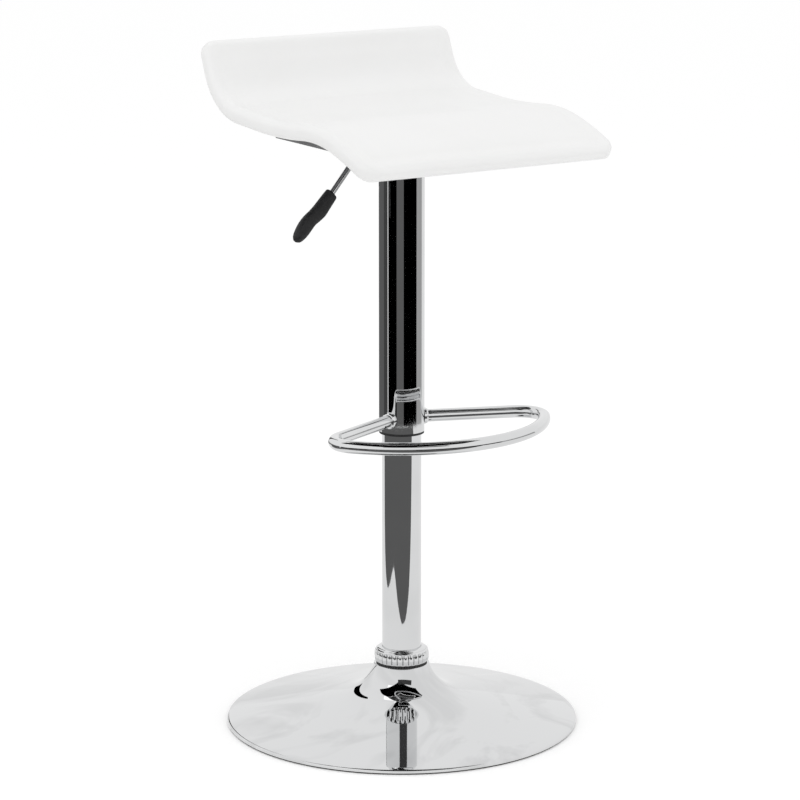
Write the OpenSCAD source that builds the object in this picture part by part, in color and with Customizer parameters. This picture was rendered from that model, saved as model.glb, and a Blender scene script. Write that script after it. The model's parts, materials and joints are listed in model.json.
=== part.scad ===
// Adjustable swivel stool at its highest setting.
// The origin is on the floor under the column. The seat's front faces -Y and the lever is on the -X side.

/* [Base] */
// Diameter of the base disc
base_d = 450; // [400:5:480]
// Height of the disc's rim above the floor
rim_h = 6.5; // [6:0.5:9]
// Rise of the disc towards its middle, per millimetre of radius
base_slope = 0.19; // [0.15:0.01:0.21]
// Radius of the flare that joins the disc to the column
flare_r = 60; // [55:1:65]

/* [Column] */
// Outer diameter of the chrome column
column_d = 50; // [50:0.1:50.4]
// Outer diameter of the cover tube that slides over the column
cover_d = 57.8; // [57.6:0.1:59]
// Height of the cover tube's lower end
cover_z = 382; // [375:1:395]
// How far the seat comes down from its highest setting
travel = 215; // [180:5:215]

/* [Footrest] */
// Diameter of the footrest's tube
rest_d = 16; // [14:0.5:18]
// Reach of the footrest in front of the column, to the tube's middle
rest_reach = 180; // [165:5:190]
// Angle of each arm from straight ahead
arm_angle = 67; // [60:1:72]
// Bend radius at the end of each arm
rest_corner = 31; // [26:1:40]
// Height of the footrest's middle
rest_z = 399; // [396:1:410]

/* [Seat] */
// Width of the seat
seat_w = 374; // [340:2:400]
// Thickness of the padded slab
seat_t = 20; // [18:1:22]
// Radius of the seat's corners
seat_corner = 20; // [18:1:30]

/* [Lever] */
// Diameter of the lever's rod
rod_d = 7.5; // [7:0.5:8]
// Slope of the rod below the level
rod_slope = 49; // [45:1:52]
// Thickness of the grip
grip_t = 13; // [11:1:15]

/* [Hidden] */
$fn = 96;
eps = 0.05;
fit = 0.05;
hair = 0.03;

// Base
base_r = base_d / 2;
sheet = 1.5;
lip_r = 3;
lip_z = 2;
neck_r = 33;
neck_z = 76;
hub_z = 14;
hub_floor = 6;
hub_r = 31;
hub_top = neck_z - sheet - 0.5;
tooth_n = 56;
tooth_t = 3;
rib_n = 28;
collar_z = neck_z + tooth_t;
collar_top = 98;
flare_end = 90 - atan(base_slope);
corner_z = rim_h + base_slope * (base_r - neck_r);
flare_z = corner_z + flare_r / tan((90 + atan(base_slope)) / 2);

// Column
column_r = column_d / 2;
column_in = column_r - 1.5;
column_z = hub_z + hub_floor;
socket_z = 703;
column_top = socket_z - travel - 4;
plug_h = 18;
floor_z = 56;
floor_t = 4;
race_r = 14;
race_t = 1.5;
bearing_z = floor_z + floor_t + race_t;
ball_r = 1.4;
ball_pitch = 9.5;
bearing_gap = 3.1;
upper_z = bearing_z + bearing_gap;
bump_z = upper_z + race_t + 3;
bump_h = 20;

// Gas spring
rod_r = 5;
rod_z = 46;
cylinder_r = 14;
cylinder_in = 12.5;
cylinder_z = bump_z + bump_h + travel + 6;
taper_z = 700;
taper_top = 741;
taper_top_r = 13.2;
button_r = 4;
button_z = 715;
piston_z = cylinder_z + 26;

// Mechanism under the seat
cover_r = cover_d / 2;
cover_in = cover_r - 1.4;
housing_z = 736;
plate_z = 759;
plate_t = 3;
plate_w = 150;
housing_x = 34;
housing_y = 30;
wall = 2.5;
pivot_x = -23;
pivot_z = 749;
pin_r = 3;
bolt_at = 55;
bolt_r = 3;
pad_w = 160;
pad_back = 82;
panel_w = 356;
panel_back = 12;
panel_front = -108;
// Underside of the panel beside its middle pad, seen from the side: [y, z] from the front to the back
panel_line = [[panel_front, 762.1], [-97, 762.6], [panel_back, 765.6]];
cloth_t = 0.8;
cloth_gap = 0.1;
cloth_inset = 15;

// Lever
elbow_x = -56;
elbow_r = 12;
rod_len = 101;
grip_slope = 43;
grip_start = [-104.5, 693];
// Half widths of the grip above and below its axis: [distance along the axis, above, below]
grip_outline = [
  [0, 8.2, 8.2], [8, 8.2, 9.4], [17, 8, 10.6], [27, 7.7, 12], [36, 8, 11], [44, 9.2, 9.4],
  [52, 9.2, 9.8], [60, 8.2, 10.4], [67, 6.8, 9.8]
];
grip_tip = [67, -1.5];

// Seat: the slab's middle line, from the lip at the back to the front edge, seen from the side.
// Each stretch is [length, turn]: a positive turn bends the line upwards.
wave = [[28.5, 0], [85, 64], [44, 0], [100, 9.5], [67, -21], [72, -10]];
wave_len = 28.5 + 85 + 44 + 100 + 67 + 72;
lip_start = [-164.5, 860.4];
lip_heading = -69.5;
wave_steps = 48;
skin = 1;
board_t = 8;
board_inset = 9;
flap = 34;
flap_ends = [130, wave_len - 78];

function turned(p, h, l, t) = t == 0
  ? p + l * [cos(h), sin(h)]
  : p + l * 180 / (PI * t) * [sin(h + t) - sin(h), cos(h) - cos(h + t)];
function along(s, i = 0, p = lip_start, h = lip_heading) =
  s <= wave[i][0] || i == len(wave) - 1
  ? let (t = wave[i][1] * s / wave[i][0]) concat(turned(p, h, s, t), [h + t])
  : along(s - wave[i][0], i + 1, turned(p, h, wave[i][0], wave[i][1]), h + wave[i][1]);
function beside(s, d) = let (q = along(s)) [q[0] - d * sin(q[2]), q[1] + d * cos(q[2])];
function slab(low, high, from, to) = concat(
  [for (k = [0:wave_steps]) beside(from + (to - from) * k / wave_steps, low)],
  [for (k = [wave_steps:-1:0]) beside(from + (to - from) * k / wave_steps, high)]);

module ring(z0, z1, inner, outer) {
  translate([0, 0, z0])
    difference() {
      cylinder(r = outer, h = z1 - z0);
      translate([0, 0, -1])
        cylinder(r = inner, h = z1 - z0 + 2);
    }
}

module disc(z0, z1, radius) {
  translate([0, 0, z0])
    cylinder(r = radius, h = z1 - z0);
}

// Flare seen in section, from the column down to the disc, at a distance in from the outer face
function flare(inset, from_z) = let (
    r = flare_r + inset,
    start = asin((flare_z - from_z) / r)
  ) [for (k = [0:16]) let (a = start + (flare_end - start) * k / 16)
    [neck_r + flare_r - r * cos(a), flare_z - r * sin(a)]];
function rim(radius) = [for (k = [0:4]) let (a = 90 - atan(base_slope) * (4 - k) / 4 - 90 * k / 4)
  [base_r - lip_r + radius * cos(a), rim_h - lip_r + radius * sin(a)]];

module base_shell() {
  flare_out = flare(0, neck_z);
  flare_in = flare(sheet, neck_z - sheet);
  color("gainsboro")
    rotate_extrude()
      polygon(concat(
        [[column_r + 0.1, neck_z]],
        flare_out,
        rim(lip_r),
        [[base_r, lip_z], [base_r - sheet, lip_z]],
        [for (k = [4:-1:0]) rim(lip_r - sheet)[k]],
        [for (k = [16:-1:0]) flare_in[k]],
        [[column_r + 0.1, neck_z - sheet]]));
}

module base_weight() {
  color("dimgray")
    ring(4.3, 8.3, 36, 150);
}

module bottom_cover() {
  color("dimgray")
    ring(2.1, 4.1, 36, base_r - 6.2);
}

module floor_ring() {
  color("black")
    rotate_extrude()
      polygon([[base_r - 20, 0], [base_r - 2.5, 0], [base_r - 2.5, 4.2], [base_r - 6, 4.2],
        [base_r - 6, 2], [base_r - 20, 2]]);
}

module base_hub() {
  color("slategray")
    difference() {
      disc(hub_z, hub_top, hub_r);
      disc(column_z, hub_top + 1, column_r + 0.02);
      disc(hub_z - 1, column_z + 1, 8.3);
    }
}

module base_bolt() {
  color("darkgray")
    union() {
      translate([0, 0, 4])
        cylinder(r = 13, h = 7.5, $fn = 6);
      disc(4.5, 34, 8);
    }
}

module base_washer() {
  color("darkgray")
    ring(11.5, hub_z, 8.3, 30);
}

module column_plug() {
  color("slategray")
    ring(column_z, column_z + plug_h, 8.05, column_in - eps);
}

module tooth_washer() {
  color("dimgray")
    translate([0, 0, neck_z])
      linear_extrude(height = tooth_t)
        difference() {
          polygon([for (k = [0:2 * tooth_n - 1]) let (a = 180 * k / tooth_n, r = k % 2 == 0 ? 32.6 : 31.2)
            [r * cos(a), r * sin(a)]]);
          circle(r = column_r + 0.1);
        }
}

module base_collar() {
  color("silver")
    difference() {
      rotate_extrude()
        polygon([[column_r + 0.1, collar_z], [33.5, collar_z], [35, collar_z + 1.5], [35, collar_top - 7],
          [33, collar_top - 3.5], [30, collar_top - 1], [26.5, collar_top], [column_r + 0.1, collar_top]]);
      for (k = [0:rib_n - 1])
        rotate([0, 0, 360 * k / rib_n])
          translate([37.4, 0, collar_z - 1])
            cylinder(r = 3.4, h = collar_top - collar_z - 1.5, $fn = 24);
    }
}

module column_tube() {
  color("silver")
    ring(column_z, column_top, column_in, column_r);
}

module column_floor() {
  color("slategray")
    ring(floor_z, floor_z + floor_t, rod_r + 0.3, column_in - eps);
}

module lower_race() {
  color("darkgray")
    ring(floor_z + floor_t, bearing_z, rod_r + 0.4, race_r);
}

module thrust_bearing() {
  color("goldenrod")
    union() {
      ring(bearing_z + 1, bearing_z + 2.1, 7, 12.5);
      for (k = [0:11])
        rotate([0, 0, 30 * k])
          translate([ball_pitch, 0, bearing_z + ball_r + 0.1])
            sphere(r = ball_r, $fn = 24);
    }
}

module upper_race() {
  color("darkgray")
    ring(upper_z, upper_z + race_t, rod_r + fit, race_r);
}

module column_guide() {
  color("black")
    union() {
      ring(column_top - 60, column_top, cylinder_r + fit, column_in - eps);
      ring(column_top, column_top + 3, cylinder_r + fit, column_r - 0.1);
    }
}

module piston_rod() {
  color("silver")
    difference() {
      union() {
        disc(rod_z, piston_z + 16, rod_r);
        disc(upper_z + race_t, bump_z, rod_r + 1.5);
      }
      ring(53.7, 55.7, 4.2, rod_r + 1);
    }
}

module piston() {
  color("black")
    ring(piston_z, piston_z + 15, rod_r, cylinder_in - fit);
}

module rod_clip() {
  color("darkgray")
    ring(53.7, 55.7, 4.2, 9);
}

module bump_stop() {
  color("black")
    ring(bump_z, bump_z + bump_h, rod_r + fit, 12.5);
}

module cover_tube() {
  color("silver")
    ring(cover_z, housing_z, cover_in, cover_r);
}

module cover_bush() {
  color("black")
    union() {
      ring(cover_z, cover_z + 25, column_r + fit, cover_in - eps);
      ring(cover_z - 3, cover_z, column_r + fit, cover_r - 0.4);
    }
}

// Footrest's run: two arms and the bend at each end of the front arc, drawn with the front along +Y.
// Each bend is a hair thicker than the straight and the arc that enter its ends.
rest_wall = 2;
arm_run = sqrt(pow(rest_reach - rest_corner, 2) - pow(rest_corner, 2));
module rest_run(radius) {
  lean = 90 - arm_angle;
  meet = lean + atan(rest_corner / arm_run);
  overlap = 0.05;
  rotate([0, 0, meet - overlap])
    rotate_extrude(angle = 180 - 2 * meet + 2 * overlap)
      translate([rest_reach, 0])
        circle(r = radius);
  for (side = [0, 1])
    mirror([side, 0, 0]) {
      rotate([0, 0, lean])
        rotate([0, 90, 0])
          translate([0, 0, 20])
            cylinder(r = radius, h = arm_run - 20 + overlap);
      translate([arm_run * cos(lean) - rest_corner * sin(lean),
        arm_run * sin(lean) + rest_corner * cos(lean), 0])
        rotate([0, 0, lean - 90])
          rotate_extrude(angle = meet - lean + 90)
            translate([rest_corner, 0])
              circle(r = radius + hair);
    }
}

module footrest_ring() {
  color("silver")
    translate([0, 0, rest_z])
      mirror([0, 1, 0])
        difference() {
          rest_run(rest_d / 2);
          rest_run(rest_d / 2 - rest_wall);
          translate([0, 0, -50])
            cylinder(r = cover_r, h = 100);
        }
}

module footrest_welds() {
  color("silver")
    translate([0, 0, rest_z])
      for (side = [-1, 1])
        rotate([0, 0, -90 + side * arm_angle])
          difference() {
            rotate([0, 90, 0])
              rotate_extrude()
                polygon([[rest_d / 2, cover_r - 1], [rest_d / 2 + 2.5, cover_r - 1],
                  [rest_d / 2 + 2.3, cover_r + 2], [rest_d / 2 + 1.2, cover_r + 4],
                  [rest_d / 2, cover_r + 4.6]]);
            translate([0, 0, -50])
              cylinder(r = cover_r, h = 100);
          }
}

module cylinder_tube() {
  color("dimgray")
    ring(cylinder_z, taper_z, cylinder_in, cylinder_r);
}

module cylinder_seal() {
  color("black")
    ring(cylinder_z + 2, cylinder_z + 22, rod_r + fit, cylinder_in - 0.02);
}

module cylinder_head() {
  color("dimgray")
    difference() {
      union() {
        disc(taper_z - 28, taper_z, cylinder_in - 0.02);
        translate([0, 0, taper_z])
          cylinder(r1 = cylinder_r, r2 = taper_top_r, h = taper_top - taper_z);
      }
      disc(button_z - 5, taper_top + 1, button_r + fit);
    }
}

module release_button() {
  top = pivot_z - 3.2;
  color("silver")
    union() {
      disc(button_z, top - 0.8, button_r);
      translate([0, 0, top - 0.8])
        cylinder(r1 = button_r, r2 = button_r / 2, h = 0.8);
    }
}

module taper_socket() {
  fall = (cylinder_r - taper_top_r) / (taper_top - taper_z);
  color("dimgray")
    difference() {
      disc(socket_z, housing_z, 24);
      translate([0, 0, socket_z - 1])
        cylinder(
          r1 = cylinder_r - fall * (socket_z - 1 - taper_z) + fit,
          r2 = cylinder_r - fall * (housing_z + 1 - taper_z) + fit,
          h = housing_z - socket_z + 2);
    }
}

module mechanism_housing() {
  h = plate_z - housing_z;
  color("dimgray")
    difference() {
      translate([-housing_x, -housing_y, housing_z])
        cube([2 * housing_x, 2 * housing_y, h]);
      translate([wall - housing_x, wall - housing_y, housing_z + wall])
        cube([2 * (housing_x - wall), 2 * (housing_y - wall), h]);
      disc(housing_z - 1, housing_z + wall + 1, 13.6);
      translate([-housing_x - 1, -5, pivot_z - 6])
        cube([wall + 2, 10, 14]);
      translate([pivot_x, housing_y + 1, pivot_z])
        rotate([90, 0, 0])
          cylinder(r = pin_r + 0.02, h = 2 * housing_y + 2);
    }
}

module at_bolts() {
  for (x = [-bolt_at, bolt_at])
    for (y = [-bolt_at, bolt_at])
      translate([x, y, 0])
        children();
}

module mounting_plate() {
  color("dimgray")
    difference() {
      translate([-plate_w / 2, -plate_w / 2, plate_z])
        cube([plate_w, plate_w, plate_t]);
      at_bolts()
        disc(plate_z - 1, plate_z + plate_t + 1, bolt_r + 0.3);
    }
}

module lever_pin() {
  color("darkgray")
    translate([pivot_x, 0, pivot_z])
      rotate([90, 0, 0])
        union() {
          translate([0, 0, -housing_y - 2])
            cylinder(r = pin_r, h = 2 * housing_y + 4);
          for (z = [-housing_y - 2, housing_y])
            translate([0, 0, z])
              cylinder(r = pin_r + 1.8, h = 2);
        }
}

module lever_rod() {
  run = elbow_r * tan(rod_slope / 2);
  color("silver")
    difference() {
      union() {
        translate([pivot_x, 0, pivot_z])
          rotate([90, 0, 0])
            translate([0, 0, -8])
              cylinder(r = 6.5, h = 16);
        translate([pivot_x, -5, pivot_z - 3])
          cube([30, 10, 6]);
        translate([elbow_x + run - eps, 0, pivot_z])
          rotate([0, 90, 0])
            cylinder(r = rod_d / 2, h = pivot_x - elbow_x - run + eps);
        translate([elbow_x + run, 0, pivot_z - elbow_r])
          rotate([90, 0, 0])
            rotate([0, 0, 90])
              rotate_extrude(angle = rod_slope)
                translate([elbow_r, 0])
                  circle(r = rod_d / 2 + hair);
        translate([elbow_x, 0, pivot_z])
          rotate([0, -90 - rod_slope, 0])
            translate([0, 0, run - eps])
              cylinder(r = rod_d / 2, h = rod_len - run + eps);
      }
      translate([pivot_x, 10, pivot_z])
        rotate([90, 0, 0])
          cylinder(r = pin_r + fit, h = 20);
    }
}

module lever_grip() {
  last = len(grip_outline) - 1;
  color("black")
    difference() {
      translate([grip_start[0], 0, grip_start[1]])
        rotate([0, -grip_slope, 0])
          rotate([90, 0, 0])
            translate([0, 0, -grip_t / 2])
              linear_extrude(height = grip_t)
                union() {
                  polygon(concat(
                    [for (p = grip_outline) [-p[0], p[1]]],
                    [for (k = [last:-1:0]) [-grip_outline[k][0], -grip_outline[k][2]]]));
                  translate([-grip_tip[0], grip_tip[1]])
                    circle(r = (grip_outline[last][1] + grip_outline[last][2]) / 2);
                }
      translate([elbow_x, 0, pivot_z])
        rotate([0, -90 - rod_slope, 0])
          cylinder(r = rod_d / 2 + 0.02, h = rod_len + 0.5);
    }
}

module mounting_bolts() {
  color("darkgray")
    at_bolts() {
      disc(plate_z - 5.5, plate_z - 1.5, 5.2);
      disc(plate_z - 2, 777, bolt_r);
    }
}

module spring_washers() {
  color("darkgray")
    at_bolts()
      ring(plate_z - 1.5, plate_z, bolt_r + 0.15, 5.8);
}

module tee_nuts() {
  color("darkgray")
    at_bolts() {
      ring(772, 779, bolt_r, 4.2);
      ring(778, 779.5, bolt_r, 9);
    }
}

module wave_body(low, high, from, to, width) {
  round_r = (high - low) / 2;
  rotate([90, 0, -90])
    linear_extrude(height = width, center = true)
      union() {
        polygon(slab(low, high, from, to));
        for (s = [from, to])
          translate(beside(s, (low + high) / 2))
            circle(r = round_r, $fn = 48);
      }
}

// Block with the seat's width whose corners are rounded in plan at the front and across the lip's top
module seat_block(inset) {
  w = seat_w - 2 * inset;
  r = seat_corner - inset;
  front = -along(wave_len)[0] - seat_t / 2 + inset;
  top = lip_start[1] + seat_t / 2 - inset;
  intersection() {
    translate([0, 0, 700])
      linear_extrude(height = 200)
        union() {
          translate([-w / 2, front + r])
            square([w, 420]);
          translate([-w / 2 + r, front])
            square([w - 2 * r, 40]);
          for (x = [-w / 2 + r, w / 2 - r])
            translate([x, front + r])
              circle(r = r);
        }
    translate([0, 300, 0])
      rotate([90, 0, 0])
        linear_extrude(height = 600)
          union() {
            translate([-w / 2, 700])
              square([w, top - r - 700]);
            translate([-w / 2 + r, top - 40])
              square([w - 2 * r, 40]);
            for (x = [-w / 2 + r, w / 2 - r])
              translate([x, top - r])
                circle(r = r);
          }
  }
}

half_t = seat_t / 2;
module seat_outer() {
  intersection() {
    wave_body(-half_t, half_t, 0, wave_len, seat_w);
    seat_block(0);
  }
}

module seat_inner() {
  intersection() {
    wave_body(skin - half_t, half_t - skin, 0, wave_len, seat_w - 2 * skin);
    seat_block(skin);
  }
}

module board_body(low) {
  intersection() {
    rotate([90, 0, -90])
      linear_extrude(height = seat_w - 2 * board_inset, center = true)
        polygon(slab(low, skin - half_t + board_t, 0, wave_len));
    seat_block(board_inset);
  }
}

module tee_space() {
  at_bolts() {
    disc(740, 779, 4.2);
    disc(778, 779.5, 9);
  }
}

module underside_panel() {
  color("gray")
    difference() {
      union() {
        translate([-pad_w / 2, panel_front, plate_z + plate_t])
          cube([pad_w, pad_back - panel_front, 15]);
        rotate([90, 0, 90])
          linear_extrude(height = panel_w, center = true)
            polygon(concat(panel_line, [[panel_back, 777], [panel_front, 777]]));
      }
      wave_body(-half_t - cloth_t - 2 * cloth_gap, half_t, 0, wave_len, seat_w);
      at_bolts()
        disc(700, 790, 4.2);
    }
}

module seat_board() {
  color("burlywood")
    difference() {
      board_body(skin - half_t + 0.1);
      tee_space();
    }
}

module seat_foam() {
  color("khaki")
    difference() {
      seat_inner();
      board_body(-half_t - 4);
      tee_space();
    }
}

module seat_cover() {
  color("white")
    difference() {
      seat_outer();
      seat_inner();
      rotate([90, 0, -90])
        linear_extrude(height = seat_w - 2 * flap, center = true)
          polygon(slab(-half_t - 1, skin - half_t + 1, flap_ends[0], flap_ends[1]));
    }
}

module dust_cover() {
  color("black")
    difference() {
      intersection() {
        rotate([90, 0, -90])
          linear_extrude(height = seat_w - 2 * cloth_inset, center = true)
            polygon(slab(-half_t - cloth_gap - cloth_t, -half_t - cloth_gap, 0, wave_len));
        seat_block(cloth_inset);
      }
      at_bolts()
        disc(700, 790, 4.2);
    }
}

base_shell();
base_weight();
bottom_cover();
floor_ring();
base_hub();
base_bolt();
base_washer();
tooth_washer();
base_collar();
column_tube();
column_plug();
column_floor();
lower_race();
thrust_bearing();
column_guide();
upper_race();
piston_rod();
piston();
rod_clip();
bump_stop();
cover_tube();
cover_bush();
footrest_ring();
footrest_welds();
cylinder_tube();
cylinder_seal();
cylinder_head();
release_button();
taper_socket();
mechanism_housing();
mounting_plate();
lever_pin();
lever_rod();
lever_grip();
mounting_bolts();
spring_washers();
tee_nuts();
underside_panel();
seat_board();
seat_foam();
seat_cover();
dust_cover();
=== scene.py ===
import json
import math

import bmesh
import bpy
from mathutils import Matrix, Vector


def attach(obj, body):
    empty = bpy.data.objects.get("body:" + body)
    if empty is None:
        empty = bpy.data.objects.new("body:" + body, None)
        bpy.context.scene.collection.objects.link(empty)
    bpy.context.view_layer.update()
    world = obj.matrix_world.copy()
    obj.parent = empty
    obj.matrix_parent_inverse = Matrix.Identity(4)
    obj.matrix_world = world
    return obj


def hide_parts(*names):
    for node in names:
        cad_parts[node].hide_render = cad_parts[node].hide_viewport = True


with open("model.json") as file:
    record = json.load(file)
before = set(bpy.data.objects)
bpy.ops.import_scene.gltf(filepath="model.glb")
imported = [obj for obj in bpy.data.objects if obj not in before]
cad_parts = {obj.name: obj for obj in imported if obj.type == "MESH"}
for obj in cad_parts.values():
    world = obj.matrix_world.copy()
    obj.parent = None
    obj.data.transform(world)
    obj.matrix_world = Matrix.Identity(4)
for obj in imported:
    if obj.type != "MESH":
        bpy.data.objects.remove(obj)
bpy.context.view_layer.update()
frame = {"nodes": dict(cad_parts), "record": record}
scene = bpy.context.scene
scene.view_settings.view_transform = "Standard"

MM = 0.001
NODES = frame["nodes"]


# ---------------------------------------------------------------- mesh helpers

def make_object(name, verts, faces, material):
    """A mesh object from points in millimetres, with its normals turned outwards."""
    mesh = bpy.data.meshes.new(name)
    mesh.from_pydata([Vector(v) * MM for v in verts], [], faces)
    work = bmesh.new()
    work.from_mesh(mesh)
    bmesh.ops.remove_doubles(work, verts=work.verts, dist=1e-7)
    bmesh.ops.recalc_face_normals(work, faces=work.faces)
    work.to_mesh(mesh)
    work.free()
    for face in mesh.polygons:
        face.use_smooth = True
    mesh.materials.append(material)
    obj = bpy.data.objects.new(name, mesh)
    scene.collection.objects.link(obj)
    return obj


def lathe(name, outline, material, turns=192, warp=None):
    """A closed outline of (radius, height) in millimetres turned round the column's axis. warp may change a point."""
    count = len(outline)
    verts = []
    for i in range(turns):
        angle = 2 * math.pi * i / turns
        for r, z in outline:
            if warp:
                r, z = warp(r, z, angle)
            verts.append((r * math.cos(angle), r * math.sin(angle), z))
    faces = [(i * count + j, i * count + (j + 1) % count,
              ((i + 1) % turns) * count + (j + 1) % count, ((i + 1) % turns) * count + j)
             for i in range(turns) for j in range(count)]
    return make_object(name, verts, faces, material)


def sweep(name, path, radius, material, sides=32):
    """A round bar of that radius along a path of points in millimetres, closed at both ends."""
    points = [Vector(p) for p in path]
    verts, faces = [], []
    side = None
    for i, p in enumerate(points):
        ahead = (points[min(i + 1, len(points) - 1)] - points[max(i - 1, 0)]).normalized()
        if side is None:
            side = ahead.orthogonal().normalized()
        side = (side - ahead * side.dot(ahead)).normalized()
        up = ahead.cross(side)
        for k in range(sides):
            a = 2 * math.pi * k / sides
            verts.append(tuple(p + radius * (side * math.cos(a) + up * math.sin(a))))
    for i in range(len(points) - 1):
        for k in range(sides):
            n = (k + 1) % sides
            faces.append((i * sides + k, i * sides + n, (i + 1) * sides + n, (i + 1) * sides + k))
    faces.append(tuple(range(sides)))
    faces.append(tuple((len(points) - 1) * sides + k for k in range(sides)))
    return make_object(name, verts, faces, material)


def between(table, s):
    """Smooth value at s of a table of (place, value) rows."""
    if s <= table[0][0]:
        return table[0][1]
    for i in range(len(table) - 1):
        (s0, v0), (s1, v1) = table[i], table[i + 1]
        if s <= s1:
            before = table[i - 1] if i else table[0]
            after = table[i + 2] if i + 2 < len(table) else table[-1]
            m0 = (v1 - before[1]) / max(s1 - before[0], 1e-6)
            m1 = (after[1] - v0) / max(after[0] - s0, 1e-6)
            h = s1 - s0
            t = (s - s0) / h
            return ((2 * t**3 - 3 * t**2 + 1) * v0 + (t**3 - 2 * t**2 + t) * h * m0
                    + (3 * t**2 - 2 * t**3) * v1 + (t**3 - t**2) * h * m1)
    return table[-1][1]


# ---------------------------------------------------------------- materials

class Nodes:
    """Short way to write a material's node tree."""

    def __init__(self, name):
        self.material = bpy.data.materials.new(name)
        self.material.use_nodes = True
        self.tree = self.material.node_tree
        self.shader = self.tree.nodes["Principled BSDF"]
        self.coords = self.tree.nodes.new("ShaderNodeTexCoord").outputs["Object"]

    def set(self, **values):
        for key, value in values.items():
            self.shader.inputs[key.replace("_", " ")].default_value = value

    def link(self, source, target):
        self.tree.links.new(source, target)

    def scaled(self, x, y, z):
        mapping = self.tree.nodes.new("ShaderNodeMapping")
        mapping.inputs["Scale"].default_value = (x, y, z)
        self.link(self.coords, mapping.inputs["Vector"])
        return mapping.outputs["Vector"]

    def noise(self, scale, detail=4, roughness=0.55, vector=None):
        node = self.tree.nodes.new("ShaderNodeTexNoise")
        node.inputs["Scale"].default_value = scale
        node.inputs["Detail"].default_value = detail
        node.inputs["Roughness"].default_value = roughness
        self.link(vector or self.coords, node.inputs["Vector"])
        return node.outputs["Fac"]

    def cells(self, scale, feature="F1"):
        node = self.tree.nodes.new("ShaderNodeTexVoronoi")
        node.feature = feature
        node.inputs["Scale"].default_value = scale
        self.link(self.coords, node.inputs["Vector"])
        return node.outputs["Distance"]

    def ramp(self, source, low, high, from_low=0.3, from_high=0.7):
        """Colour or number between low and high as the source goes between two levels."""
        node = self.tree.nodes.new("ShaderNodeValToRGB")
        for element, place, value in ((node.color_ramp.elements[0], from_low, low),
                                      (node.color_ramp.elements[1], from_high, high)):
            element.position = place
            value = (value, value, value) if isinstance(value, (int, float)) else value
            element.color = (*value, 1)
        self.link(source, node.inputs["Fac"])
        return node.outputs["Color"]

    def bump(self, *layers):
        """layers are (height, strength, distance in metres), the finest last."""
        last = None
        for height, strength, distance in layers:
            node = self.tree.nodes.new("ShaderNodeBump")
            node.inputs["Strength"].default_value = strength
            node.inputs["Distance"].default_value = distance
            self.link(height, node.inputs["Height"])
            if last:
                self.link(last, node.inputs["Normal"])
            last = node.outputs["Normal"]
        self.link(last, self.shader.inputs["Normal"])

    def colour(self, source):
        self.link(source, self.shader.inputs["Base Color"])

    def rough(self, source):
        self.link(source, self.shader.inputs["Roughness"])


def chrome(name="chrome_plate", groove_shade=False, cloudy=False):
    """Mirror plate with faint wipe marks. One flag darkens its grooves near black with painted shade, and cloudy
    gives it wide smudges.
    """
    n = Nodes(name)
    n.set(Metallic=1.0)
    wipe = n.noise(60, 5, 0.6, n.scaled(1, 1, 0.2))
    if groove_shade:
        # painted shade: the hollows of the grooves are coloured near black, darker than the plate round them
        hollow = n.tree.nodes.new("ShaderNodeNewGeometry").outputs["Pointiness"]
        n.colour(n.ramp(hollow, (0.02, 0.02, 0.02), (0.74, 0.745, 0.75), 0.43, 0.5))
    elif cloudy:
        cloud = n.tree.nodes.new("ShaderNodeTexNoise")
        cloud.inputs["Scale"].default_value = 6.5
        cloud.inputs["Detail"].default_value = 3
        cloud.inputs["Distortion"].default_value = 2.2
        n.link(n.coords, cloud.inputs["Vector"])
        n.colour(n.ramp(cloud.outputs["Fac"], (0.65, 0.655, 0.66), (0.735, 0.74, 0.745), 0.34, 0.5))
    else:
        n.colour(n.ramp(n.noise(9, 3, 0.6), (0.70, 0.705, 0.71), (0.76, 0.765, 0.77)))
    n.rough(n.ramp(wipe, 0.015, 0.06, 0.35, 0.8))
    n.bump((n.noise(22, 2, 0.5), 0.02, 0.0004), (n.noise(2400, 2, 0.5), 0.015, 0.00002))
    return n.material


def vinyl():
    n = Nodes("white_vinyl")
    n.set(IOR=1.5, Coat_Weight=0.12, Coat_Roughness=0.35)
    patch = n.noise(7, 3, 0.5)
    grain = n.cells(1150)
    pores = n.noise(2600, 3, 0.6)
    n.colour(n.ramp(patch, (0.812, 0.812, 0.807), (0.828, 0.828, 0.825)))
    n.rough(n.ramp(n.noise(240, 4, 0.6), 0.40, 0.52))
    n.bump((n.noise(38, 3, 0.5), 0.10, 0.0008), (grain, 0.22, 0.00012), (pores, 0.12, 0.00004))
    return n.material


def black_plastic():
    n = Nodes("black_moulded_plastic")
    n.set(IOR=1.46)
    n.colour(n.ramp(n.noise(180, 4, 0.6), (0.009, 0.009, 0.010), (0.018, 0.018, 0.019)))
    n.rough(n.ramp(n.noise(90, 4, 0.6), 0.42, 0.6))
    n.bump((n.cells(1500), 0.35, 0.00012), (n.noise(3200, 2, 0.5), 0.2, 0.00004))
    return n.material


def rubber():
    n = Nodes("black_rubber")
    n.set(IOR=1.5)
    n.colour(n.ramp(n.noise(70, 4, 0.6), (0.014, 0.014, 0.014), (0.035, 0.034, 0.033)))
    n.rough(n.ramp(n.noise(300, 3, 0.6), 0.7, 0.9))
    n.bump((n.noise(900, 3, 0.6), 0.3, 0.0001))
    return n.material


def dark_steel():
    n = Nodes("painted_steel")
    n.set(IOR=1.5, Coat_Weight=0.25, Coat_Roughness=0.25)
    n.colour(n.ramp(n.noise(40, 5, 0.65), (0.018, 0.018, 0.019), (0.034, 0.034, 0.035)))
    n.rough(n.ramp(n.noise(120, 4, 0.6), 0.34, 0.5))
    n.bump((n.noise(420, 3, 0.5), 0.25, 0.00012))
    return n.material


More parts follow.
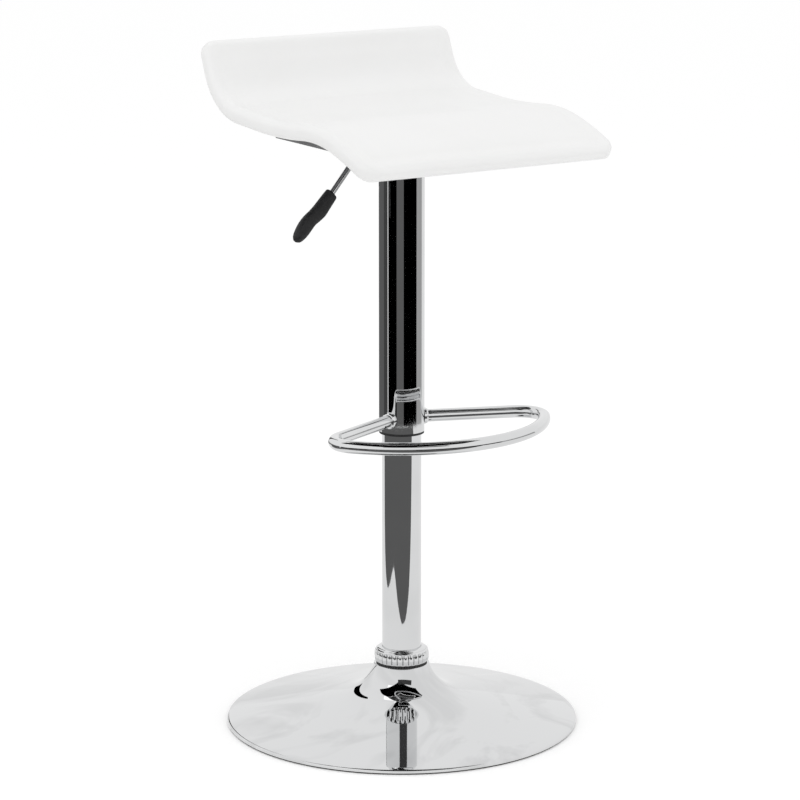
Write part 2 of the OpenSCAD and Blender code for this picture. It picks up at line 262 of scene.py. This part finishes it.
def zinc():
    n = Nodes("zinc_plated_steel")
    n.set(Metallic=1.0)
    n.colour(n.ramp(n.noise(60, 4, 0.6), (0.52, 0.53, 0.54), (0.66, 0.66, 0.65)))
    n.rough(n.ramp(n.noise(350, 4, 0.6, n.scaled(1, 1, 0.1)), 0.2, 0.38))
    n.bump((n.noise(1500, 3, 0.6, n.scaled(1, 1, 0.08)), 0.12, 0.00005))
    return n.material


def iron():
    n = Nodes("cast_iron")
    n.set(Metallic=0.6)
    n.colour(n.ramp(n.noise(90, 6, 0.7), (0.05, 0.048, 0.046), (0.12, 0.115, 0.11)))
    n.rough(n.ramp(n.noise(200, 4, 0.6), 0.6, 0.85))
    n.bump((n.noise(500, 5, 0.65), 0.5, 0.0004))
    return n.material


def grey_board():
    n = Nodes("grey_underside_board")
    n.set(IOR=1.45)
    n.colour(n.ramp(n.noise(55, 5, 0.6), (0.11, 0.11, 0.112), (0.16, 0.16, 0.163)))
    n.rough(n.ramp(n.noise(160, 4, 0.6), 0.5, 0.68))
    n.bump((n.cells(900), 0.25, 0.00012))
    return n.material


def plywood():
    n = Nodes("birch_plywood")
    grain = n.noise(14, 6, 0.6, n.scaled(1, 9, 60))
    n.colour(n.ramp(grain, (0.42, 0.28, 0.15), (0.66, 0.50, 0.31)))
    n.rough(n.ramp(grain, 0.5, 0.7))
    n.bump((grain, 0.3, 0.0002))
    return n.material


def foam():
    n = Nodes("cream_foam")
    cells = n.cells(520, "SMOOTH_F1")
    n.colour(n.ramp(cells, (0.58, 0.52, 0.34), (0.78, 0.73, 0.55)))
    n.rough(n.ramp(cells, 0.8, 0.95))
    n.bump((cells, 0.6, 0.0006))
    return n.material


def dust_cloth():
    n = Nodes("black_dust_cloth")
    n.set(IOR=1.4)
    n.colour(n.ramp(n.noise(500, 4, 0.7), (0.010, 0.010, 0.010), (0.035, 0.035, 0.035)))
    n.rough(n.ramp(n.noise(260, 3, 0.6), 0.8, 0.95))
    n.bump((n.noise(1400, 4, 0.7), 0.5, 0.0002))
    return n.material


MATERIALS = {
    "chrome": chrome(), "vinyl": vinyl(), "black_plastic": black_plastic(), "rubber": rubber(),
    "dark_steel": dark_steel(), "bright_steel": zinc(), "iron": iron(), "grey_board": grey_board(),
    "plywood": plywood(), "foam": foam(), "black_cloth": dust_cloth(),
}
SLOT_OF = {row["node"]: row["material_slot"] for row in frame["record"]["subparts"]}
for node_name, obj in NODES.items():
    for slot in obj.material_slots:
        slot.material = MATERIALS[SLOT_OF[node_name]]


def place(piece, body, slot, *nodes):
    """piece rides on a body and stands for the nodes named, which it hides. slot is not used."""
    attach(piece, body)
    if nodes:
        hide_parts(*nodes)
    return piece


# ---------------------------------------------------------------- base

BASE_R = 225
RIM_H = 6.5
SLOPE = 0.19
FLARE_R = 60
NECK_R = 33
NECK_Z = 76
COLUMN_R = 25
SHEET = 1.5
LIP_R = 3
# the flare's arc ends here and its tail begins
FLARE_TAIL_R = 53
# where the flare leaves the flat neck, and where its close rings end
NECK_EDGE = 33.5
NECK_OUT = 35.4
CLOSE_RINGS_R = 90
RIM_LOW = 2


def flare_height(r):
    """Height of the disc's upper face: an arc near the column that dies away smoothly into the slope."""
    slope_z = RIM_H + SLOPE * (BASE_R - r)
    corner = RIM_H + SLOPE * (BASE_R - NECK_R)
    middle_z = corner + FLARE_R / math.tan((math.pi / 2 + math.atan(SLOPE)) / 2)

    def arc_z(at):
        return middle_z - math.sqrt(FLARE_R ** 2 - (NECK_R + FLARE_R - at) ** 2)

    if r <= FLARE_TAIL_R:
        return arc_z(r)
    lift = arc_z(FLARE_TAIL_R) - (RIM_H + SLOPE * (BASE_R - FLARE_TAIL_R))
    fall = (arc_z(FLARE_TAIL_R - 0.1) - arc_z(FLARE_TAIL_R)) / 0.1 - SLOPE
    return slope_z + lift * math.exp(-(r - FLARE_TAIL_R) * fall / lift)


def base_outline():
    rolled = [(BASE_R - LIP_R + LIP_R * math.sin(a), RIM_H - LIP_R + LIP_R * math.cos(a))
              for a in (math.atan(SLOPE) + (math.pi / 2 - math.atan(SLOPE)) * k / 8 for k in range(9))]
    radii = [NECK_OUT + (CLOSE_RINGS_R - NECK_OUT) * (k / 70) ** 1.3 for k in range(71)]
    radii += [CLOSE_RINGS_R + (rolled[0][0] - CLOSE_RINGS_R) * k / 36 for k in range(1, 36)]
    outer = [(r, flare_height(r)) for r in radii]
    inner = [(r, flare_height(r) - SHEET * (1.15 if r > 60 else 1.6)) for r in radii]
    return ([(COLUMN_R + 0.1, NECK_Z), (NECK_EDGE, NECK_Z)] + outer + rolled
            + [(BASE_R, RIM_LOW + 0.6), (BASE_R - 0.6, RIM_LOW), (BASE_R - SHEET + 0.4, RIM_LOW),
               (BASE_R - SHEET, RIM_LOW + 0.6)]
            + [(BASE_R - SHEET - 0.8, RIM_H - SHEET - 0.4)] + inner[::-1]
            + [(NECK_EDGE, NECK_Z - SHEET), (COLUMN_R + 0.1, NECK_Z - SHEET)])


base_disc = lathe("base_disc", base_outline(), chrome("chrome_disc", cloudy=True), turns=256)
place(base_disc, "base", "chrome", "base_shell")


COLLAR_LOW = 79
COLLAR_TOP = 98
RIBS = 28
RIB_DEPTH = 2.2


def collar_warp(r, z, angle):
    """Turns the collar's wall into a ring of upright beads under a plain shoulder."""
    if r < 31:
        return r, z
    bead = abs(math.cos(RIBS * angle / 2)) ** 0.8
    fade = min(1.0, max(0.0, (94.5 - z) / 3.5)) * min(1.0, max(0.0, (z - COLLAR_LOW) / 1.5))
    return r - RIB_DEPTH * (1 - bead) * fade, z


collar_wall = [(35 - 1.1 * ((z - 86.5) / 7.5) ** 2, z) for z in (79.6 + 0.7 * k for k in range(22))]
collar_shoulder = [(33.4 - 0.25 * k, 94.6 + 0.13 * k) for k in range(1, 8)]
collar_outline = ([(COLUMN_R + 0.1, COLLAR_LOW), (33, COLLAR_LOW)] + collar_wall + collar_shoulder
                  + [(31.2, 95.9), (30.6, 96.6), (28.4, 97.2), (26.8, COLLAR_TOP), (COLUMN_R + 0.1, COLLAR_TOP)])
# painted shade darkens the collar's grooves near black
collar = lathe("collar_ring", collar_outline, chrome("chrome_grooved", groove_shade=True), turns=RIBS * 20, warp=collar_warp)
place(collar, "base", "chrome", "base_collar")


# ---------------------------------------------------------------- footrest

REST_REACH = 180
REST_CORNER = 31
ARM_ANGLE = 67
REST_R = 8
REST_Z = 399
COVER_R = 28.9


def arc(centre, radius, start, end, steps):
    return [(centre[0] + radius * math.cos(math.radians(a)), centre[1] + radius * math.sin(math.radians(a)))
            for a in (start + (end - start) * k / steps for k in range(steps + 1))]


def footrest_path():
    """Plan of the loop's middle line, from one weld round the front to the other, with the front along -Y."""
    run = math.sqrt((REST_REACH - REST_CORNER) ** 2 - REST_CORNER ** 2)
    lean = 90 - ARM_ANGLE
    meet = lean + math.degrees(math.atan(REST_CORNER / run))
    along = Vector((math.cos(math.radians(lean)), math.sin(math.radians(lean))))
    across = Vector((-along.y, along.x))
    start = COVER_R - 1
    arm = [tuple(along * (start + (run - start) * k / 12)) for k in range(12)]
    bend = arc(along * run + across * REST_CORNER, REST_CORNER, lean - 90, meet, 20)
    front = arc((0, 0), REST_REACH, meet, 90, 40)[1:]
    half = arm + bend + front
    whole = half + [(-x, y) for x, y in reversed(half[:-1])]
    return [(x, -y, REST_Z) for x, y in whole]


footrest = sweep("footrest_loop", footrest_path(), REST_R, MATERIALS["chrome"], sides=48)
place(footrest, "seat", "chrome", "footrest_ring")


# ---------------------------------------------------------------- lever grip

GRIP_START = Vector((-104.5, 0, 693))
GRIP_SLOPE = math.radians(43)
GRIP_LEN = 77.5
# (distance along the axis, half size in millimetres) above, below and across, measured on the photo's grip
GRIP_ABOVE = [(0, 8.2), (8, 8.3), (17, 8.0), (27, 7.7), (36, 8.1), (44, 9.2), (52, 9.3), (60, 8.2), (68, 6.0),
              (74, 3.2), (77.5, -0.6)]
GRIP_BELOW = [(0, 8.2), (8, 9.4), (17, 10.7), (27, 12.0), (36, 11.0), (44, 9.5), (52, 9.9), (60, 10.5),
              (68, 10.0), (74, 8.2), (77.5, 4.0)]
GRIP_THICK = [(0, 6.2), (10, 6.5), (27, 6.7), (42, 6.2), (56, 6.6), (68, 5.8), (74, 4.4), (77.5, 2.0)]


def grip_mesh():
    axis = Vector((-math.cos(GRIP_SLOPE), 0, -math.sin(GRIP_SLOPE)))
    up = Vector((-math.sin(GRIP_SLOPE), 0, math.cos(GRIP_SLOPE)))
    out = Vector((0, 1, 0))
    sides, verts, faces = 40, [], []
    stations = [0, 0, 0.25, 0.8, 1.6] + [2.5 + 1.5 * k for k in range(49)] + [76, 76.9, GRIP_LEN]
    shrink = [0.0, 0.82, 0.91, 0.97, 1.0]
    for i, s in enumerate(stations):
        high, low, thick = between(GRIP_ABOVE, s), between(GRIP_BELOW, s), between(GRIP_THICK, s)
        f = shrink[i] if i < len(shrink) else 1.0
        if s >= GRIP_LEN:
            f = 0.0
        middle = GRIP_START + axis * s + up * ((high - low) / 2)
        half = (high + low) / 2 * f
        for k in range(sides):
            a = 2 * math.pi * k / sides
            c, d = math.cos(a), math.sin(a)
            c = math.copysign(abs(c) ** 0.8, c)
            d = math.copysign(abs(d) ** 0.8, d)
            verts.append(tuple(middle + up * half * c + out * thick * f * d))
    for i in range(len(stations) - 1):
        for k in range(sides):
            n = (k + 1) % sides
            faces.append((i * sides + k, i * sides + n, (i + 1) * sides + n, (i + 1) * sides + k))
    return make_object("grip_moulding", verts, faces, MATERIALS["black_plastic"])


place(grip_mesh(), "lever", "black_plastic", "lever_grip")


# ---------------------------------------------------------------- seat

SEAT_W = 374
SEAT_T = 20
WAVE = [(28.5, 0), (85, 64), (44, 0), (100, 9.5), (67, -21), (72, -10)]
WAVE_LEN = sum(length for length, turn in WAVE)
LIP_START = (-164.5, 860.4)
LIP_HEADING = -69.5
LIP_CORNER = 17
FRONT_CORNER = 23
EDGE_TOP = 8.5
EDGE_LOW = 5
CROWN = 2.2
VALLEY_IN = 22
VALLEY_WIDTH = 8
PUFF_CAP = 3.0


def wave_at(s):
    """(forward, up, heading) of the slab's middle line at a distance from the lip's start."""
    x, z, heading = LIP_START[0], LIP_START[1], math.radians(LIP_HEADING)
    if s < 0:
        return x + s * math.cos(heading), z + s * math.sin(heading), heading
    for i, (length, turn) in enumerate(WAVE):
        last = i == len(WAVE) - 1
        part = min(s, length)
        if turn:
            t = math.radians(turn) * part / length
            r = length / math.radians(turn)
            x += r * (math.sin(heading + t) - math.sin(heading))
            z += r * (math.cos(heading) - math.cos(heading + t))
            heading += t
        else:
            x += part * math.cos(heading)
            z += part * math.sin(heading)
        s -= part
        if s <= 0 and not last:
            break
    return x + s * math.cos(heading), z + s * math.sin(heading), heading


def sink(distance, depth):
    """Depth of the soft valley beside the edge roll, at a distance in from the edge."""
    return depth * math.exp(-((distance - VALLEY_IN) / VALLEY_WIDTH) ** 2)


def edge_ring(half_w, half_t, crown, valley):
    """Points round the slab's section: (across, outwards, how soft), from the middle of the top, to +X and back."""
    top_r, low_r = min(EDGE_TOP, half_t), min(EDGE_LOW, half_t)
    right = []
    steps = 34
    for k in range(steps + 1):
        x = (half_w - top_r) * math.sin(math.pi / 2 * k / steps) ** 0.9
        right.append((x, half_t + crown * (1 - (x / half_w) ** 4) - sink(half_w - x, valley), 1.0))
    for k in range(1, 8):
        a = math.pi / 2 * k / 7
        lift = crown * (1 - ((half_w - top_r) / half_w) ** 4) * (1 - k / 7)
        right.append((half_w - top_r + top_r * math.sin(a), half_t - top_r + top_r * math.cos(a) + lift,
                      1 - 0.8 * k / 7))
    for k in range(1, 3):
        right.append((half_w, half_t - top_r + (low_r - 2 * half_t + top_r) * k / 3, 0.1))
    for k in range(6):
        a = math.pi / 2 * k / 5
        right.append((half_w - low_r + low_r * math.cos(a), low_r - half_t - low_r * math.sin(a), 0.0))
    for k in range(1, 25):
        right.append(((half_w - low_r) * (1 - k / 24), -half_t, 0.0))
    left = [(-x, t, soft) for x, t, soft in reversed(right[1:-1])]
    return right + left


def seat_mesh():
    half_t = SEAT_T / 2
    lead = [half_t * (1 - math.cos(math.pi / 2 * k / 8)) for k in range(1, 9)]
    inner = [half_t + WAVE_LEN * k / 96 for k in range(1, 96)]
    total = WAVE_LEN + SEAT_T
    stations = lead + inner + [total - e for e in reversed(lead)]
    verts, faces, softness = [], [], []
    count = None
    for place_s in stations:
        end = min(place_s, total - place_s)
        rise = math.sqrt(max(0.0, 1 - (1 - min(end, half_t) / half_t) ** 2))
        corner = LIP_CORNER if place_s < total / 2 else FRONT_CORNER
        cut = corner - math.sqrt(max(0.0, corner ** 2 - max(0.0, corner - end) ** 2))
        forward, up, heading = wave_at(place_s - half_t)
        near = min(1.0, end / 45)
        ring = edge_ring(SEAT_W / 2 - cut, half_t * rise, CROWN * near, 1.3 * min(1.0, end / VALLEY_IN))
        count = len(ring)
        dip = sink(end, 1.1 if place_s > total / 2 else 0.5)
        for x, t, soft in ring:
            if t > 0 and SEAT_W / 2 - abs(x) > VALLEY_IN:
                t -= dip
            verts.append((x, -(forward - t * math.sin(heading)), up + t * math.cos(heading)))
            softness.append(soft * near)
    rows = len(stations)
    for i in range(rows - 1):
        for j in range(count):
            n = (j + 1) % count
            faces.append((i * count + j, i * count + n, (i + 1) * count + n, (i + 1) * count + j))
    half = count // 2
    for i in (0, rows - 1):
        base = i * count
        for j in range(half):
            a, b = base + j, base + j + 1
            c, d = base + (count - j - 1) % count, base + (count - j) % count
            faces.append(tuple(dict.fromkeys((a, b, c, d))))
    mesh = bpy.data.meshes.new("seat_upholstery")
    mesh.from_pydata([Vector(v) * MM for v in verts], [], faces)
    obj = bpy.data.objects.new("seat_upholstery", mesh)
    scene.collection.objects.link(obj)
    obj.data.materials.append(MATERIALS["vinyl"])
    group = obj.vertex_groups.new(name="held")
    for i, soft in enumerate(softness):
        group.add([i], 1 - soft, "REPLACE")
    work = bmesh.new()
    work.from_mesh(mesh)
    bmesh.ops.recalc_face_normals(work, faces=work.faces)
    work.to_mesh(mesh)
    work.free()
    for face in mesh.polygons:
        face.use_smooth = True
    return obj


def inflate(obj, frames=20):
    """Blows the cover up over its held underside with Cloth, keeps each point within a cap, and applies it."""
    start = [v.co.copy() for v in obj.data.vertices]
    cloth = obj.modifiers.new("puff", "CLOTH")
    settings = cloth.settings
    settings.quality = 6
    settings.mass = 0.3
    settings.tension_stiffness = settings.compression_stiffness = 30
    settings.shear_stiffness = 15
    settings.bending_stiffness = 2
    settings.use_pressure = True
    settings.uniform_pressure_force = 4
    settings.vertex_group_mass = "held"
    settings.effector_weights.gravity = 0
    cloth.point_cache.frame_start, cloth.point_cache.frame_end = 1, frames
    for f in range(1, frames + 1):
        scene.frame_set(f)
    done = obj.evaluated_get(bpy.context.evaluated_depsgraph_get()).to_mesh()
    moved = [v.co.copy() for v in done.vertices]
    obj.evaluated_get(bpy.context.evaluated_depsgraph_get()).to_mesh_clear()
    obj.modifiers.remove(cloth)
    scene.frame_set(1)
    for v, a, b in zip(obj.data.vertices, start, moved):
        step = b - a
        if step.length > PUFF_CAP * MM:
            step = step.normalized() * PUFF_CAP * MM
        v.co = a + step


seat = seat_mesh()
inflate(seat)
smooth = seat.modifiers.new("smooth", "SUBSURF")
smooth.levels = smooth.render_levels = 1
place(seat, "seat", "vinyl", "seat_cover", "seat_foam")


# ---------------------------------------------------------------- studio

CAMERA_LENS = 140.75
CAMERA_TURN = math.radians(35)
CAMERA_REACH = 3.862
CAMERA_HEIGHT = 1.2646
CAMERA_PITCH = math.radians(12.33)
CAMERA_ASIDE = -0.0021
RIGHT = Vector((math.cos(CAMERA_TURN), -math.sin(CAMERA_TURN), 0))
TOWARDS = Vector((-math.sin(CAMERA_TURN), -math.cos(CAMERA_TURN), 0))
# the near floor flag ends and the far ones begin at this distance from the column
ROOM_NEAR = 1.75
ROOM_FAR = 14


def add_camera():
    data = bpy.data.cameras.new("camera")
    data.lens = CAMERA_LENS
    data.sensor_width = 36
    data.clip_end = 60
    camera = bpy.data.objects.new("camera", data)
    scene.collection.objects.link(camera)
    camera.location = TOWARDS * CAMERA_REACH + RIGHT * CAMERA_ASIDE + Vector((0, 0, CAMERA_HEIGHT))
    camera.rotation_euler = (math.pi / 2 - CAMERA_PITCH, 0, -CAMERA_TURN)
    scene.camera = camera


def stage_material(name, colour, strength=0.0):
    material = bpy.data.materials.new(name)
    material.use_nodes = True
    shader = material.node_tree.nodes["Principled BSDF"]
    shader.inputs["Base Color"].default_value = (*colour, 1)
    shader.inputs["Roughness"].default_value = 0.9
    shader.inputs["Specular IOR Level"].default_value = 0.0
    shader.inputs["Emission Color"].default_value = (*colour, 1)
    shader.inputs["Emission Strength"].default_value = strength
    return material


def panel(name, corners, material, only_glossy=False):
    """A flat stage piece through points in metres."""
    mesh = bpy.data.meshes.new(name)
    mesh.from_pydata(corners, [], [tuple(range(len(corners)))])
    mesh.materials.append(material)
    obj = bpy.data.objects.new(name, mesh)
    scene.collection.objects.link(obj)
    if only_glossy:
        obj.visible_camera = obj.visible_diffuse = obj.visible_shadow = False
        obj.visible_transmission = obj.visible_volume_scatter = False
    return obj


def on_floor(right, towards, height=0.0):
    return tuple(RIGHT * right + TOWARDS * towards + Vector((0, 0, height)))


def softened(points, rounds=2):
    """A closed outline with its corners cut again and again into a smooth curve."""
    for _ in range(rounds):
        points = [tuple(a * w + b * (1 - w) for a, b in zip(points[i], points[(i + 1) % len(points)]))
                  for i in range(len(points)) for w in (0.75, 0.25)]
    return points


def bearing(degrees, reach, height=0.001):
    """Point at a bearing from the column as the camera sees it: 0 is towards the camera, 90 is to its right."""
    return on_floor(reach * math.sin(math.radians(degrees)), reach * math.cos(math.radians(degrees)), height)


def sector(name, start, end, near, far, material, height=0.001):
    """Part of a level ring between two bearings."""
    steps = max(2, int((end - start) / 6))
    turns = [start + (end - start) * k / steps for k in range(steps + 1)]
    corners = [bearing(t, near, height) for t in turns] + [bearing(t, far, height) for t in reversed(turns)]
    return panel(name, corners, material, True)


def add_area_light(name, energy, size, location, target):
    data = bpy.data.lights.new(name, "AREA")
    data.energy = energy
    data.shape = "RECTANGLE"
    data.size, data.size_y = size
    light = bpy.data.objects.new(name, data)
    scene.collection.objects.link(light)
    light.location = location
    light.rotation_euler = (Vector(target) - Vector(location)).to_track_quat("-Z", "Y").to_euler()


def add_studio():
    """Pale floor, white world and one light, and flags: cards that only the mirror reflections see."""
    world = bpy.data.worlds.new("studio")
    scene.world = world
    world.use_nodes = True
    world.node_tree.nodes["Background"].inputs["Color"].default_value = (1, 1, 1, 1)
    world.node_tree.nodes["Background"].inputs["Strength"].default_value = 0.95
    side = 30
    panel("floor", [(-side, -side, 0), (side, -side, 0), (side, side, 0), (-side, side, 0)],
          stage_material("pale_floor", (0.93, 0.93, 0.93), 0.12))
    shade = {level: stage_material("flag_%d" % level, (0, 0, 0), level / 100) for level in (0, 6, 12, 40, 80, 90)}
    for material in shade.values():
        material.node_tree.nodes["Principled BSDF"].inputs["Emission Color"].default_value = (1, 1, 1, 1)
    # the room's dark floor beyond the white sheet's left and front edges, seen only in the chrome
    edge = [(-1.4, -0.8), (-0.65, -0.3), (-0.65, 0.5), (-0.4, 0.6), (0.25, 0.4), (1.4, 0.75)]
    beyond = [(ROOM_NEAR * math.sin(math.radians(t)), ROOM_NEAR * math.cos(math.radians(t)))
              for t in range(60, -121, -10)]
    panel("near_floor_flag", [on_floor(r, t, 0.001) for r, t in softened(edge + beyond)], shade[12], True)
    panel("sheet_flag", [bearing(t, 12, 0.0004) for t in range(0, 360, 5)], shade[90], True)
    panel("backdrop_flag", [bearing(t, 5, z) for z, turns in ((0.02, range(125, 236, 5)), (1.0, range(235, 124, -5)))
                            for t in turns], shade[90], True)
    # card at the ceiling's edge that shows in the column as the disc mirrors it
    sector("card_flag", -15, 40, 1.6, 2.4, shade[6], 2)
    # the rest of the room: black, with a few greyer and lighter stretches
    for k, (start, end, level) in enumerate((
            (-160, -100, 12), (-100, -75, 6), (-75, -70, 80), (-70, -25, 0), (-25, 10, 12), (10, 80, 0), (80, 120, 40))):
        sector("far_flag_%d" % k, start, end, ROOM_NEAR, ROOM_FAR, shade[level])
    # dark ceiling in front and a leaning dark stand behind, which show in the flare
    panel("ceiling_flag", [on_floor(-1.7, 0, 2), on_floor(-0.3, 2.2, 2), on_floor(1.2, 0.7, 2), on_floor(1, -0.3, 2)],
          shade[0], True)
    panel("stand_flag", [bearing(-160, 2, 0.4), bearing(-150, 2, 0.4), bearing(-142, 2, 2.2), bearing(-148, 2, 2.2)],
          shade[0], True)
    add_area_light("overhead", 12, (2.6, 2.6), (-0.6, -0.4, 3.0), (0, 0, 0.4))


add_camera()
add_studio()
